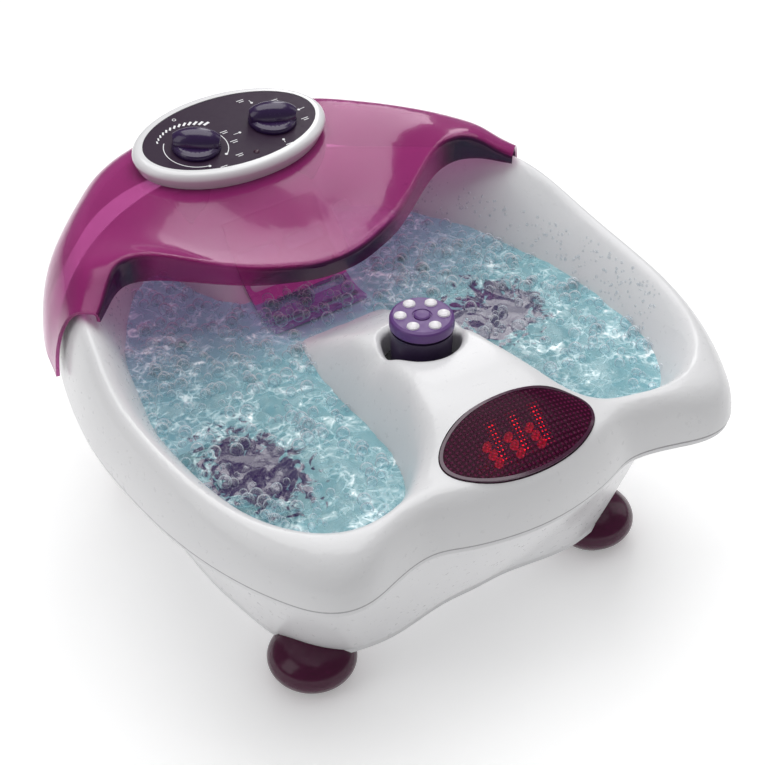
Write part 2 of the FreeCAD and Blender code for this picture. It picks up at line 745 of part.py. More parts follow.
def massage_head_cap():
    rim = HEAD_RADIUS
    cap = lathe((0, BODY_TOP), (rim - 0.8, BODY_TOP), (rim, BODY_TOP + 0.8), (rim, HEAD_TOP - 2.4),
                (rim - 0.7, HEAD_TOP - 0.9), (rim - 2.2, HEAD_TOP), (6.4, HEAD_TOP), (6.0, HEAD_TOP - 0.6),
                (5.4, HEAD_TOP - 0.6), (5.4, HEAD_TOP - 1.2), (0, HEAD_TOP - 1.2), centre=(0, HUB_Y, 0))
    return cap


def head_button():
    low = HEAD_TOP - 1.2
    return lathe((0, low), (5.2, low), (5.2, low + 1.2), (4.2, low + 2.0), (0, low + 2.4), centre=(0, HUB_Y, 0))


def head_nodes():
    nodes = []
    for angle in NODE_ANGLES:
        x = NODE_RING * math.cos(math.radians(angle))
        y = HUB_Y + NODE_RING * math.sin(math.radians(angle))
        nodes.append(lathe((0, 0), (4.1, 0), (3.8, 0.9), (2.6, 1.7), (0, 2.1), centre=(x, y, HEAD_TOP)))
    return group(nodes)


# ---------------------------------------------------------------- wells
CHEEK_INNER = 0.5 * ROLLER_LENGTH + 0.5
CHEEK_OUTER = CHEEK_INNER + 4.5
CRADLE_YS = (ROLLER_YS[0] - 22, ROLLER_YS[1] + 22)
AXLE_RADIUS = 2.0


def roller_cradle(x, tub):
    low_y, high_y = CRADLE_YS
    cradle = rounded_block((x - CHEEK_OUTER, low_y, WELL_FLOOR - 2), (x + CHEEK_OUTER, high_y, ROLLER_Z + 4), 9)
    well = rounded_block((x - CHEEK_INNER, low_y + 4, WELL_FLOOR + 4),
                         (x + CHEEK_INNER, high_y - 4, ROLLER_Z + 20), 6)
    side = block((x - 60, low_y + 13, ROLLER_Z + 8), (x + 60, high_y - 13, ROLLER_Z + 30))
    cradle = cradle.cut(well).cut(side)
    for y in ROLLER_YS:
        cradle = cradle.cut(cylinder(AXLE_RADIUS, 80, (x - 40, y, ROLLER_Z), (1, 0, 0)))
    return trimmed(cradle, tub)


def axle(x, y):
    return cylinder(AXLE_RADIUS, 2 * CHEEK_OUTER - 1, (x - CHEEK_OUTER + 0.5, y, ROLLER_Z), (1, 0, 0))


def roller(x, y):
    """Ribbed massage roller that spins on its axle."""
    ribs = 5
    pitch = ROLLER_LENGTH / ribs
    profile = [(AXLE_RADIUS + RUNNING_GAP, 0)]
    for i in range(ribs):
        for part in range(9):
            turn = math.pi * part / 8
            height = pitch * (i + part / 8)
            profile.append((ROLLER_RADIUS - 3.0 + 3.0 * math.sin(turn), height + (0.01 if part == 0 and i else 0)))
    profile.append((AXLE_RADIUS + RUNNING_GAP, ROLLER_LENGTH))
    shape = lathe(*profile)
    shape.rotate(Vector(0, 0, 0), Vector(0, 1, 0), 90)
    shape.translate(Vector(x - 0.5 * ROLLER_LENGTH, y, ROLLER_Z))
    return shape


def bubble_plate(x, tub):
    """Violet floor insert with air holes and five massage domes."""
    y = -98
    plate = rounded_block((x - 19, y - 30, WELL_FLOOR - 1), (x + 19, y + 30, WELL_FLOOR + 3), 8)
    for row in range(-2, 3):
        dome = stretched(Part.makeSphere(7), z=0.75)
        dome.translate(Vector(x + (7 if row % 2 else -7), y + 11 * row, WELL_FLOOR + 3))
        plate = plate.fuse(dome)
    for row in range(-2, 3):
        plate = plate.cut(cylinder(1.1, 20, (x + (-7 if row % 2 else 7), y + 11 * row, WELL_FLOOR - 5)))
    return trimmed(plate, tub)


def toe_bar(x, tub):
    bar = rounded_block((x - 22, 82, WELL_FLOOR - 1), (x + 22, 98, WELL_FLOOR + 4), 6)
    for step_x in (-14, 0, 14):
        dome = stretched(Part.makeSphere(6), z=0.9)
        dome.translate(Vector(x + step_x, 90, WELL_FLOOR + 4))
        bar = bar.fuse(dome)
    return trimmed(bar, tub)


GRILLE_HALF_WIDTH = 37.0
GRILLE_YS = (36.0, 101.0)
GRILLE_ROWS = (43.5, 57.5, 71.5, 85.5)
GRILLE_WALL = 3.0
GRILLE_LIFT = 4.6              # its face above the ridge


def slotted_grille():
    """Slotted cover plate on the ridge behind the massage head, running up to the pod."""
    grille = patch(GRILLE_HALF_WIDTH, *GRILLE_YS, lambda x, y: RIDGE_HEIGHT(y) + GRILLE_LIFT, GRILLE_WALL)
    for y in GRILLE_ROWS:
        for x in (-18.5, 18.5):
            slot = rounded_block((x - 15.5, y - 3.2, 100), (x + 15.5, y + 3.2, 230), 3.1)
            grille = grille.cut(slot)
    return grille


# ---------------------------------------------------------------- inside the base
MOTOR_Y = (-38.0, 12.0)
MOTOR_Z = 62.0
MOTOR_RADIUS = 18.0
ROTOR_RADIUS = 2.5


def motor_case():
    case = cylinder(MOTOR_RADIUS, MOTOR_Y[1] - MOTOR_Y[0], (0, MOTOR_Y[0], MOTOR_Z), (0, 1, 0))
    boss = cylinder(6, 3, (0, MOTOR_Y[1] - 0.5, MOTOR_Z), (0, 1, 0))
    return case.fuse(boss).cut(cylinder(ROTOR_RADIUS + RUNNING_GAP, 60, (0, MOTOR_Y[0] + 8, MOTOR_Z), (0, 1, 0)))


def motor_bracket():
    saddle = block((-24, MOTOR_Y[0] + 4, BASE_BOTTOM), (24, MOTOR_Y[1] - 4, MOTOR_Z - 6))
    return saddle.cut(cylinder(MOTOR_RADIUS, 90, (0, MOTOR_Y[0] - 10, MOTOR_Z), (0, 1, 0)))


def motor_shaft():
    return cylinder(ROTOR_RADIUS, 52, (0, MOTOR_Y[0] + 9, MOTOR_Z), (0, 1, 0))


def eccentric_weight():
    """Half disc on the motor's shaft, whose imbalance makes the vibration."""
    low_y = MOTOR_Y[1] + 5
    disc = cylinder(15, 12, (0, low_y, MOTOR_Z), (0, 1, 0))
    disc = disc.cut(block((-20, low_y - 1, MOTOR_Z + 4), (20, low_y + 20, MOTOR_Z + 30)))
    return disc.cut(cylinder(ROTOR_RADIUS, 60, (0, 0, MOTOR_Z), (0, 1, 0)))


PUMP_LOW = (-33, 62, BASE_BOTTOM)
PUMP_HIGH = (33, 128, 74)


def air_pump():
    pump = rounded_block(PUMP_LOW, PUMP_HIGH, 8)
    for side in (-1, 1):
        pump = pump.fuse(cylinder(4.5, 7, (side * 32, 95, 40), (side, 0, 0)))
    return pump


def air_hose(side, tub):
    """Elbow from the pump's nozzle up to the well floor."""
    run = cylinder(4.0, 34, (side * 39, 95, 40), (side, 0, 0))
    bend = Part.makeSphere(4.0, Vector(side * 73, 95, 40))
    rise = cylinder(4.0, 26, (side * 73, 95, 40))
    return trimmed(run.fuse(bend).fuse(rise), tub)


def heating_element(x, tub):
    """Hairpin tube pressed up against the underside of a foot well."""
    tube, half_gap, z = 4.0, 12.0, 45.4
    legs = [cylinder(tube, 110, (x + side * half_gap, -90, z), (0, 1, 0)) for side in (-1, 1)]
    bend = Part.makeTorus(half_gap, tube, Vector(x, 20, z), Vector(0, 0, 1), -180, 180, 180)
    return trimmed(legs[0].fuse(legs[1]).fuse(bend), tub)


def mains_inlet_gland(base):
    """Bush in the rear of the base where a supply cord would enter."""
    flange = cylinder(GLAND_RADIUS + 3.5, 16, (0, GLAND_Y - 16, GLAND_Z), (0, 1, 0)).cut(base)
    flange = max(flange.Solids, key=lambda piece: piece.BoundBox.YMax)
    body = cylinder(GLAND_RADIUS, 24, (0, GLAND_Y - 19, GLAND_Z), (0, 1, 0))
    bush = flange.fuse(body)
    return bush.cut(cylinder(INLET_RADIUS, 60, (0, GLAND_Y - 40, GLAND_Z), (0, 1, 0)))


def casing_screws():
    screws = []
    for x, y in SCREW_PLACES:
        head = lathe((0, 20.3), (2.6, 20.3), (4.0, 21.2), (4.0, PLATE_BOTTOM), (SCREW_RADIUS, PLATE_BOTTOM),
                     (SCREW_RADIUS, 36), (0, 37), centre=(x, y, 0))
        cross = block((x - 2.2, y - 0.5, 20), (x + 2.2, y + 0.5, 21)).fuse(
            block((x - 0.5, y - 2.2, 20), (x + 0.5, y + 2.2, 21)))
        screws.append(head.cut(cross))
    return group(screws)


# ---------------------------------------------------------------- assembly
def assembly():
    tub = upper_tub()
    base = base_shell()
    plate = bottom_plate()
    guard = splash_guard()
    bezel = lens_bezel()
    lens = ir_lens()
    column = pod_column(tub)
    housing = pod_housing(guard)
    parts = {
        "upper_tub": tub,
        "base_shell": base,
        "seam_gasket": seam_gasket(),
        "bottom_plate": plate,
        "casing_screws": casing_screws(),
        "splash_guard": guard,
        "guard_lugs": group(guard_lug(x, tub, guard, column, housing) for x in (-LUG_X, LUG_X)),
        "pod_housing": housing,
        "pod_column": column,
        "face_plate": face_plate(),
        "indicator_lamp": indicator_lamp(),
        "temperature_knob": knob(-KNOB_X, -35),
        "mode_knob": knob(KNOB_X, -25),
        "temperature_shaft": shaft(-KNOB_X),
        "mode_shaft": shaft(KNOB_X),
        "thermostat_body": control_body(-KNOB_X, 24),
        "mode_switch_body": control_body(KNOB_X, 22),
        "control_board": control_board(),
        "lens_bezel": bezel,
        "ir_lens": lens,
        "lamp_tray": lamp_tray(bezel, lens),
        "ir_lamp_board": ir_lamp_board(),
        "ir_lamps": ir_lamps(),
        "window_posts": window_posts(),
        "head_socket": head_socket(),
        "massage_head_body": massage_head_body(),
        "massage_head_cap": massage_head_cap(),
        "massage_head_button": head_button(),
        "massage_head_nodes": head_nodes(),
        "slotted_grille": slotted_grille(),
        "motor_case": motor_case(),
        "motor_bracket": motor_bracket(),
        "motor_shaft": motor_shaft(),
        "eccentric_weight": eccentric_weight(),
        "air_pump": air_pump(),
        "mains_inlet_gland": mains_inlet_gland(base),
    }
    parts["foot_pads"] = group(foot_pad(place) for place in FOOT_PLACES.values())
    for name, place in FOOT_PLACES.items():
        parts[f"{name}_foot"] = foot(place, base, plate)
    for side, sign in (("left", -1), ("right", 1)):
        x = sign * WELL_X
        parts[f"{side}_roller_cradle"] = roller_cradle(x, tub)
        parts[f"{side}_bubble_plate"] = bubble_plate(x, tub)
        parts[f"{side}_toe_bar"] = toe_bar(x, tub)
        parts[f"{side}_air_hose"] = air_hose(sign, tub)
        parts[f"{side}_heating_element"] = heating_element(x, tub)
        for row, y in zip(("heel", "arch"), ROLLER_YS):
            parts[f"{side}_{row}_roller"] = roller(x, y)
            parts[f"{side}_{row}_axle"] = axle(x, y)
    return parts


def main():
    os.makedirs("parts", exist_ok=True)
    for name, shape in assembly().items():
        shape.exportStep(f"parts/{name}.step")
        valid = "valid" if shape.isValid() else "INVALID"
        print(f"{name}: {len(shape.Solids)} solid, {shape.Volume / 1000:.1f} cm3, {valid}")


main()
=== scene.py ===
import json
import math
import random

import bpy
from mathutils import Matrix, Vector, noise
from mathutils.bvhtree import BVHTree


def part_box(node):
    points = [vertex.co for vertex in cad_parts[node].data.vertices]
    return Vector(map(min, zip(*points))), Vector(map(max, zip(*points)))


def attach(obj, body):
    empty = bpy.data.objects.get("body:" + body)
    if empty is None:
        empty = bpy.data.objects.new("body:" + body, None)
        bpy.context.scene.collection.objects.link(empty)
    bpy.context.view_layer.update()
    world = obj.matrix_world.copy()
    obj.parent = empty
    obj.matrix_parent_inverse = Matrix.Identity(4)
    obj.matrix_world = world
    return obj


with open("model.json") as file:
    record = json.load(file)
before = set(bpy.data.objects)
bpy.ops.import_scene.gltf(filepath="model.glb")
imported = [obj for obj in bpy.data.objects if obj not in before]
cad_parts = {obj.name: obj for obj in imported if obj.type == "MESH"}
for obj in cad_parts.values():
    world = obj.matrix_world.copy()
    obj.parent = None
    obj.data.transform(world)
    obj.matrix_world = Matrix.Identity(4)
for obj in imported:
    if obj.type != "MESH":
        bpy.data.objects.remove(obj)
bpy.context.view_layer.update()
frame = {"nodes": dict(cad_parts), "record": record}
nodes = frame["nodes"]
slot_of = {part["node"]: part["material_slot"] for part in frame["record"]["subparts"]}
random.seed(7)

MM = 0.001
POD_TILT = math.radians(5.0)
WATER_LEVEL = 146 * MM
HUB_Y = -76 * MM
WHITE = (0.80, 0.80, 0.815)


# ---------------------------------------------------------------- shader graphs
class Graph:
    """A material under construction: adds nodes and sets or links their inputs by name."""

    def __init__(self, name):
        self.material = bpy.data.materials.new(name)
        self.material.use_nodes = True
        self.tree = self.material.node_tree
        self.tree.nodes.clear()
        self.place = self.add("ShaderNodeTexCoord").outputs["Object"]

    def add(self, kind, inputs=None, **settings):
        node = self.tree.nodes.new(kind)
        for key, value in settings.items():
            setattr(node, key, value)
        for key, value in (inputs or {}).items():
            if isinstance(value, bpy.types.NodeSocket):
                self.tree.links.new(value, node.inputs[key])
            else:
                node.inputs[key].default_value = value
        return node

    def noise(self, scale, detail=2.0, distortion=0.0, place=None):
        node = self.add("ShaderNodeTexNoise", {"Vector": place or self.place, "Scale": scale,
                                               "Detail": detail, "Distortion": distortion})
        return node.outputs["Fac"]

    def cells(self, scale, randomness=1.0, feature="F1", place=None):
        node = self.add("ShaderNodeTexVoronoi", {"Vector": place or self.place, "Scale": scale,
                                                 "Randomness": randomness}, feature=feature)
        return node.outputs["Distance"]

    def scaled(self, x=1.0, y=1.0, z=1.0):
        node = self.add("ShaderNodeMapping", {"Vector": self.place, "Scale": (x, y, z)})
        return node.outputs["Vector"]

    def ramp(self, value, *stops):
        """Colour ramp from (position, colour) stops."""
        node = self.add("ShaderNodeValToRGB", {"Fac": value})
        elements = node.color_ramp.elements
        while len(elements) < len(stops):
            elements.new(0.5)
        for element, (position, color) in zip(elements, stops):
            element.position = position
            element.color = (*color, 1.0)
        return node.outputs["Color"]

    def spread(self, value, low, high, new_low=0.0, new_high=1.0):
        node = self.add("ShaderNodeMapRange", {"Value": value, "From Min": low, "From Max": high,
                                               "To Min": new_low, "To Max": new_high})
        return node.outputs["Result"]

    def math(self, operation, first, second=0.0):
        node = self.add("ShaderNodeMath", {0: first, 1: second}, operation=operation)
        return node.outputs["Value"]

    def axis(self, name, source=None):
        node = self.add("ShaderNodeSeparateXYZ", {"Vector": source or self.place})
        return node.outputs[name]

    def blend(self, factor, first, second):
        node = self.add("ShaderNodeMixRGB", {"Fac": factor})
        for key, value in (("Color1", first), ("Color2", second)):
            if isinstance(value, bpy.types.NodeSocket):
                self.tree.links.new(value, node.inputs[key])
            else:
                node.inputs[key].default_value = (*value, 1.0)
        return node.outputs["Color"]

    def bump(self, height, distance, strength=1.0, below=None):
        inputs = {"Height": height, "Distance": distance, "Strength": strength}
        if below is not None:
            inputs["Normal"] = below
        return self.add("ShaderNodeBump", inputs).outputs["Normal"]

    def principled(self, inputs):
        return self.add("ShaderNodeBsdfPrincipled", inputs).outputs["BSDF"]

    def clear(self, color):
        if not isinstance(color, bpy.types.NodeSocket):
            color = (*color, 1.0)
        return self.add("ShaderNodeBsdfTransparent", {"Color": color}).outputs["BSDF"]

    def mixed(self, factor, first, second):
        node = self.add("ShaderNodeMixShader", {0: factor, 1: first, 2: second})
        return node.outputs["Shader"]

    def facing(self, blend):
        return self.add("ShaderNodeLayerWeight", {"Blend": blend}).outputs["Facing"]

    def finish(self, shader):
        self.add("ShaderNodeOutputMaterial", {"Surface": shader})
        return self.material


def lighter(color, factor):
    """Colour with its channels multiplied, at most 1."""
    return tuple(min(channel * factor, 1.0) for channel in color)


DRIFT_SCALE = 11
CLOUD_SCALE = 240
PEEL_SCALE = 60
PEEL_DEPTH = 0.06 * MM
CLOUD_SHARE = 0.75


def moulded(name, color, rough=(0.2, 0.34), coat=0.0, tone=0.05, grain=1400, depth=0.02,
            shine=0.5):
    """Moulded surface: slow colour drift, uneven gloss, orange peel and a fine grain.
    depth is the grain's height in millimetres."""
    g = Graph(name)
    slow = g.noise(DRIFT_SCALE, detail=3)
    cloud = g.noise(CLOUD_SCALE, detail=3)
    fine = g.noise(grain, detail=2)
    shade = g.ramp(slow, (0.3, lighter(color, 1 - tone)), (0.7, lighter(color, 1 + tone)))
    mixed = g.math("ADD", g.math("MULTIPLY", cloud, CLOUD_SHARE),
                   g.math("MULTIPLY", fine, 1 - CLOUD_SHARE))
    orange_peel = g.bump(g.noise(PEEL_SCALE, detail=1), PEEL_DEPTH, 0.2)
    return g.finish(g.principled({
        "Base Color": shade,
        "Roughness": g.spread(mixed, 0.35, 0.65, *rough),
        "Specular IOR Level": shine,
        "Coat Weight": coat,
        "Coat Roughness": 0.08,
        "Normal": g.bump(fine, depth * MM, 0.5, orange_peel),
    }))


LINE_SCALE = 700
LINE_DEPTH = 0.02 * MM


def brushed(name, color, stretch, rough=(0.22, 0.42)):
    """Bright metal with fine lines along the direction whose stretch is small."""
    g = Graph(name)
    lines = g.noise(LINE_SCALE, detail=3, place=g.scaled(*stretch))
    shade = g.ramp(lines, (0.3, lighter(color, 0.82)), (0.7, color))
    return g.finish(g.principled({
        "Base Color": shade,
        "Metallic": 1.0,
        "Roughness": g.spread(lines, 0.3, 0.7, *rough),
        "Normal": g.bump(lines, LINE_DEPTH, 0.6),
    }))


FLOW_SCALE = 7
FLOW_DEPTH = 0.6 * MM
# Painted shade on the guard's inner lip: how much dark plastic shows there and how dark its film
# turns.
LIP_SHADE_BODY = 0.62
LIP_SHADE_FILM = 0.45


def tinted_sheet(name, film, body, edge, dense, rough):
    """Translucent moulding seen through two faces: film tints what lies behind it, body is its
    own colour, edge the painted shade colour of walls that face the hub of the basin, and dense
    is how much of the plastic itself shows face on and edge on."""
    g = Graph(name)
    flow = g.noise(FLOW_SCALE, detail=3, distortion=0.8)
    # Painted shade: walls that face the hub get the dark edge colour, more of that plastic and a
    # darker film.
    lip_shade = lip_shade_share(g)
    color = g.ramp(flow, (0.3, lighter(body, 0.9)), (0.7, lighter(body, 1.12)))
    color = g.blend(lip_shade, color, edge)
    shown = g.spread(g.facing(0.42), 0.0, 1.0, *dense)
    shown = g.math("MAXIMUM", shown, g.math("MULTIPLY", lip_shade, LIP_SHADE_BODY))
    plastic = g.principled({
        "Base Color": color,
        "Roughness": g.spread(flow, 0.3, 0.7, rough, rough + 0.08),
        "Coat Weight": 0.6,
        "Coat Roughness": 0.04,
        "Normal": g.bump(flow, FLOW_DEPTH, 0.3),
    })
    film_color = g.blend(lip_shade, film, lighter(film, LIP_SHADE_FILM))
    return g.finish(g.mixed(shown, g.clear(film_color), plastic))


def lip_shade_share(g):
    """Painted shade mask: 1 where a wall faces the hub of the basin, 0 where it faces up or away.
    """
    normal = g.add("ShaderNodeTexCoord").outputs["Normal"]
    from_hub = g.add("ShaderNodeVectorMath", {0: g.place, 1: (0.0, HUB_Y, 0.0)},
                     operation="SUBTRACT")
    flat = g.add("ShaderNodeVectorMath", {0: from_hub.outputs["Vector"], 1: (1.0, 1.0, 0.0)},
                 operation="MULTIPLY")
    unit = g.add("ShaderNodeVectorMath", {0: flat.outputs["Vector"]}, operation="NORMALIZE")
    facing = g.add("ShaderNodeVectorMath", {0: unit.outputs["Vector"], 1: normal},
                   operation="DOT_PRODUCT")
    return g.spread(facing.outputs["Value"], -0.45, -0.8)


PRISM_SCALE = 330
RIB_WAVE = 1500
PRISM_DEPTH = 0.25 * MM


def lens_plum(name):
    """Plum window with a regular field of small moulded prisms and fine crossed ribs."""
    g = Graph(name)
    prisms = g.cells(PRISM_SCALE, randomness=0.0, place=g.scaled(1, 1, 0.02))
    cross = g.math("ADD", g.math("SINE", g.math("MULTIPLY", g.axis("X"), RIB_WAVE)),
                   g.math("SINE", g.math("MULTIPLY", g.axis("Y"), RIB_WAVE)))
    haze = g.noise(60, detail=3)
    dots = g.spread(prisms, 0.12, 0.42, 1.0, 0.0)
    color = g.blend(dots, (0.045, 0.002, 0.02), (0.20, 0.012, 0.085))
    film = g.blend(dots, (0.40, 0.05, 0.14), (0.86, 0.24, 0.34))
    pimples = g.bump(g.math("ADD", dots, g.math("MULTIPLY", cross, 0.2)), PRISM_DEPTH, 0.5)
    plastic = g.principled({
        "Base Color": color,
        "Roughness": g.spread(haze, 0.3, 0.7, 0.16, 0.26),
        "Specular IOR Level": 0.12,
        "Normal": pimples,
    })
    shown = g.spread(g.facing(0.4), 0.0, 1.0, 0.55, 0.95)
    return g.finish(g.mixed(shown, g.clear(film), plastic))


def glowing(name, color, strength, rim):
    """Lit or tinted lamp, mottled between two colours."""
    g = Graph(name)
    mottle = g.noise(500, detail=2)
    shade = g.blend(mottle, rim, color)
    return g.finish(g.principled({
        "Base Color": shade,
        "Roughness": g.spread(mottle, 0.3, 0.7, 0.2, 0.35),
        "Emission Color": shade,
        "Emission Strength": strength,
    }))


TRACK_SCALE = 150
TRACK_DEPTH = 0.05 * MM


def board(name):
    """Solder mask with a faint pattern of tracks."""
    g = Graph(name)
    tracks = g.cells(TRACK_SCALE, randomness=0.15, feature="DISTANCE_TO_EDGE")
    line = g.spread(tracks, 0.03, 0.06, 1.0, 0.0)
    return g.finish(g.principled({
        "Base Color": g.blend(line, (0.015, 0.10, 0.04), (0.06, 0.26, 0.10)),
        "Roughness": g.spread(g.noise(300), 0.3, 0.7, 0.3, 0.5),
        "Normal": g.bump(line, TRACK_DEPTH, 0.6),
    }))


finishes = {
    "white_shell": moulded("white_shell", WHITE, rough=(0.27, 0.33), coat=0.2, tone=0.01),
    "white_pod": moulded("white_pod", WHITE, rough=(0.16, 0.26), coat=0.5, tone=0.012),
    "seam_ring": moulded("seam_ring", (0.42, 0.41, 0.43), rough=(0.55, 0.75), depth=0.05),
    "zinc_screw": brushed("zinc_screw", (0.72, 0.72, 0.70), (1, 1, 0.1)),
    # The tinted guard's third colour is painted shade for its inner lip.
    "tinted_guard": tinted_sheet("tinted_guard", (0.80, 0.42, 0.68), (0.42, 0.035, 0.23),
                                 (0.045, 0.002, 0.05), (0.26, 0.93), rough=0.14),
    "dark_panel": moulded("dark_panel", (0.026, 0.010, 0.030), rough=(0.36, 0.46), grain=2200,
                          shine=0.22),
    "lamp_lens": glowing("lamp_lens", (0.05, 0.01, 0.035), 0.02, (0.03, 0.006, 0.02)),
    "violet_knob": moulded("violet_knob", (0.026, 0.008, 0.058), rough=(0.18, 0.28), coat=0.4),
    "steel_shaft": brushed("steel_shaft", (0.68, 0.68, 0.69), (1, 1, 0.06)),
    "black_plastic": moulded("black_plastic", (0.018, 0.017, 0.02), rough=(0.4, 0.6), depth=0.06),
    "circuit_board": board("circuit_board"),
    "lens_trim": moulded("lens_trim", (0.055, 0.008, 0.035), rough=(0.12, 0.22), coat=0.6),
    "plum_lens": lens_plum("plum_lens"),
    "lamp_tray": moulded("lamp_tray", (0.04, 0.006, 0.02), rough=(0.4, 0.6)),
    "red_lamps": glowing("red_lamps", (1.0, 0.06, 0.03), 6.0, (0.6, 0.01, 0.02)),
    "lens_post": moulded("lens_post", (0.02, 0.004, 0.012), rough=(0.15, 0.25)),
    "dark_violet": moulded("dark_violet", (0.030, 0.014, 0.055), rough=(0.3, 0.45)),
    "violet_cap": moulded("violet_cap", (0.12, 0.045, 0.21), rough=(0.28, 0.42), depth=0.05),
    "white_nodes": moulded("white_nodes", (0.83, 0.80, 0.84), rough=(0.14, 0.24), coat=0.4,
                           tone=0.02),
    "pink_grille": moulded("pink_grille", (0.60, 0.13, 0.44), rough=(0.2, 0.34), coat=0.3),
    "steel_case": brushed("steel_case", (0.60, 0.60, 0.61), (1, 0.06, 1), rough=(0.3, 0.5)),
    "weight_metal": brushed("weight_metal", (0.72, 0.55, 0.28), (1, 0.1, 1)),
    "black_rubber": moulded("black_rubber", (0.012, 0.012, 0.013), rough=(0.65, 0.85), grain=900,
                            depth=0.12),
    "foot_plastic": moulded("foot_plastic", (0.070, 0.005, 0.034), rough=(0.16, 0.26), coat=0.1,
                            shine=0.35),
    "clear_cradle": moulded("clear_cradle", (0.030, 0.010, 0.075), rough=(0.25, 0.4)),
    "violet_pads": moulded("violet_pads", (0.040, 0.012, 0.10), rough=(0.35, 0.5), depth=0.05),
    "violet_rollers": moulded("violet_rollers", (0.030, 0.008, 0.085), rough=(0.3, 0.45),
                              depth=0.05),
}


WELD_DISTANCE = 0.02 * MM
SHARP_ANGLE = math.radians(28)
SLIVER_AREA = 0.2 * MM * MM


def even_shading(sliver_area):
    """Geometry modifier that welds a moulding's faces and shades it smooth up to a sharp angle,
    and across faces smaller than sliver_area."""
    group = bpy.data.node_groups.new("even_shading", "GeometryNodeTree")
    for way in ("INPUT", "OUTPUT"):
        group.interface.new_socket("Geometry", in_out=way, socket_type="NodeSocketGeometry")
    start = group.nodes.new("NodeGroupInput")
    weld = group.nodes.new("GeometryNodeMergeByDistance")
    weld.inputs["Distance"].default_value = WELD_DISTANCE
    faces = group.nodes.new("GeometryNodeSetShadeSmooth")
    angle = group.nodes.new("GeometryNodeInputMeshEdgeAngle")
    soft = group.nodes.new("ShaderNodeMath")
    soft.operation = "LESS_THAN"
    soft.inputs[1].default_value = SHARP_ANGLE
    area = group.nodes.new("GeometryNodeInputMeshFaceArea")
    tiny = group.nodes.new("ShaderNodeMath")
    tiny.operation = "LESS_THAN"
    tiny.inputs[1].default_value = sliver_area
    beside_tiny = group.nodes.new("GeometryNodeFieldOnDomain")
    beside_tiny.domain = "FACE"
    either = group.nodes.new("ShaderNodeMath")
    either.operation = "ADD"
    edges = group.nodes.new("GeometryNodeSetShadeSmooth")
    edges.domain = "EDGE"
    end = group.nodes.new("NodeGroupOutput")
    link = group.links.new
    link(start.outputs[0], weld.inputs["Geometry"])
    link(weld.outputs["Geometry"], faces.inputs["Geometry"])
    link(faces.outputs["Geometry"], edges.inputs["Geometry"])
    link(angle.outputs["Unsigned Angle"], soft.inputs[0])
    link(area.outputs[0], tiny.inputs[0])
    link(tiny.outputs[0], beside_tiny.inputs[0])
    link(soft.outputs[0], either.inputs[0])
    link(beside_tiny.outputs[0], either.inputs[1])
    link(either.outputs[0], edges.inputs["Shade Smooth"])
    link(edges.outputs["Geometry"], end.inputs[0])
    return group


plain_shading = even_shading(0.0)
shell_shading = even_shading(SLIVER_AREA)
for name, node in nodes.items():
    node.data.materials.clear()
    node.data.materials.append(finishes[slot_of[name]])
    if "custom_normal" in node.data.attributes:
        node.data.attributes.remove(node.data.attributes["custom_normal"])
    shading = shell_shading if slot_of[name] == "white_shell" else plain_shading
    node.modifiers.new("even_shading", "NODES").node_group = shading
    weighted = node.modifiers.new("large_faces_lead", "WEIGHTED_NORMAL")
    weighted.keep_sharp = True
    weighted.weight = 100


# ---------------------------------------------------------------- mesh helpers
def piece(name, points, faces, material, body="basin", slot=None, smooth=True):
    """Object from points and faces that rides on a body, or is staged when body is None."""
    mesh = bpy.data.meshes.new(name)
    mesh.from_pydata([tuple(p) for p in points], [], faces)
    mesh.update()
    for polygon in mesh.polygons:
        polygon.use_smooth = smooth
    mesh.materials.append(material)
    made = bpy.data.objects.new(name, mesh)
    bpy.context.scene.collection.objects.link(made)
    if body:
        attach(made, body)
    return made


def join(*meshes):
    """Several (points, faces) lists as one."""
    points, faces = [], []
    for some_points, some_faces in meshes:
        start = len(points)
        points += some_points
        faces += [tuple(i + start for i in face) for face in some_faces]
    return points, faces


# ---------------------------------------------------------------- panel printing
plate_low, plate_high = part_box("face_plate")
plate_centre = 0.5 * (plate_low + plate_high)
PLATE_HALF_THICKNESS = 0.9 * MM
INK = 0.07 * MM
KNOB_LEFT = (-30.5, -6.0)
KNOB_RIGHT = (30.5, -6.0)
DOT_RADIUS = 1.1


def on_panel(x, y, z=0.0):
    """Place on the tilted face plate from millimetres about its centre."""
    up = PLATE_HALF_THICKNESS + z
    along = y * MM
    return plate_centre + Vector((x * MM, along * math.cos(POD_TILT) - up * math.sin(POD_TILT),
                                  along * math.sin(POD_TILT) + up * math.cos(POD_TILT)))


def printed(outline):
    """Thin raised ink of a convex outline given in panel millimetres."""
    count = len(outline)
    points = [on_panel(x, y, 0.0) for x, y in outline] + [on_panel(x, y, INK) for x, y in outline]
    faces = [tuple(range(count, 2 * count)), tuple(reversed(range(count)))]
    for i in range(count):
        j = (i + 1) % count
        faces.append((i, j, count + j, count + i))
    return points, faces


def around(centre, radius, degrees):
    """Place at a radius and an angle from a centre."""
    angle = math.radians(degrees)
    return centre[0] + radius * math.cos(angle), centre[1] + radius * math.sin(angle)


def arc_band(centre, radius, width, start, stop, pieces=40):
    """Ring segment between two angles in degrees, as a strip of printed quads."""
    bands = []
    outer = radius + width
    for i in range(pieces):
        a = start + (stop - start) * i / pieces
        b = start + (stop - start) * (i + 1) / pieces
        corners = [around(centre, reach, degrees)
                   for degrees, reach in ((a, radius), (b, radius), (b, outer), (a, outer))]
        bands.append(printed(corners[::-1]))
    return join(*bands)


def dot(x, y, radius, sides=20):
    ring = [2 * math.pi * i / sides for i in range(sides)]
    return printed([(x + radius * math.cos(a), y + radius * math.sin(a)) for a in ring])


def bar(x0, y0, x1, y1, width):
    """Straight printed line between two places."""
    length = math.hypot(x1 - x0, y1 - y0)
    nx, ny = -(y1 - y0) / length * width / 2, (x1 - x0) / length * width / 2
    return printed([(x0 - nx, y0 - ny), (x1 - nx, y1 - ny),
                    (x1 + nx, y1 + ny), (x0 + nx, y0 + ny)])


